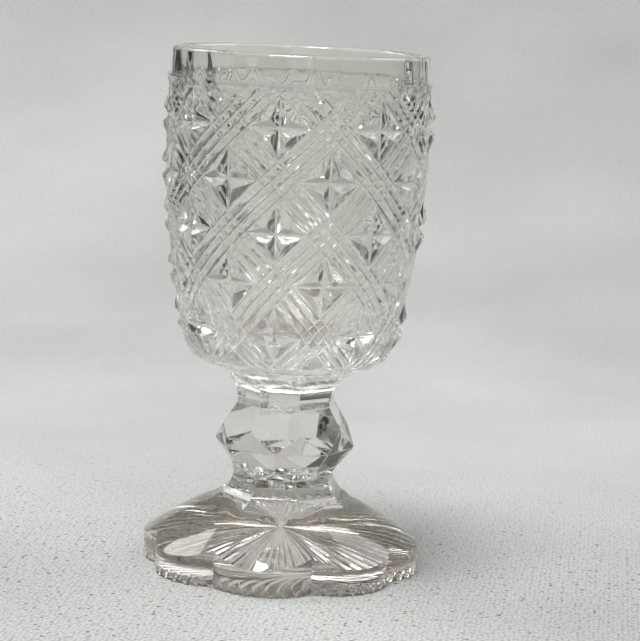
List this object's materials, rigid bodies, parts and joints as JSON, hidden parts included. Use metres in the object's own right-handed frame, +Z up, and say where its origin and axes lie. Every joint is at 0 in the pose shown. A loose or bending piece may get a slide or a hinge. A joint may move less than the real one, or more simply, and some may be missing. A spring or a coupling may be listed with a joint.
{
  "type": "wine glass",
  "caption": "Short footed drinking glass of clear pressed glass: a diamond and ribbon patterned bucket bowl, faceted knop stem and thick scalloped, rayed foot.",
  "frame": {"origin": "centre of the underside of the foot, on the surface the glass stands on", "axes": "+Z up along the axis of the glass; -Y is the front, through the middle of a flat side of the stem and the middle of a foot lobe"},
  "size_m": [0.055, 0.055, 0.102],
  "materials": {
    "clear_glass": "clear, polished, very faint warm grey tint"
  },
  "bodies": {
    "root": {"bowl": "clear_glass", "bowl_collar": "clear_glass", "stem_knop": "clear_glass", "foot_collar": "clear_glass", "foot": "clear_glass"}
  },
  "joints": []
}
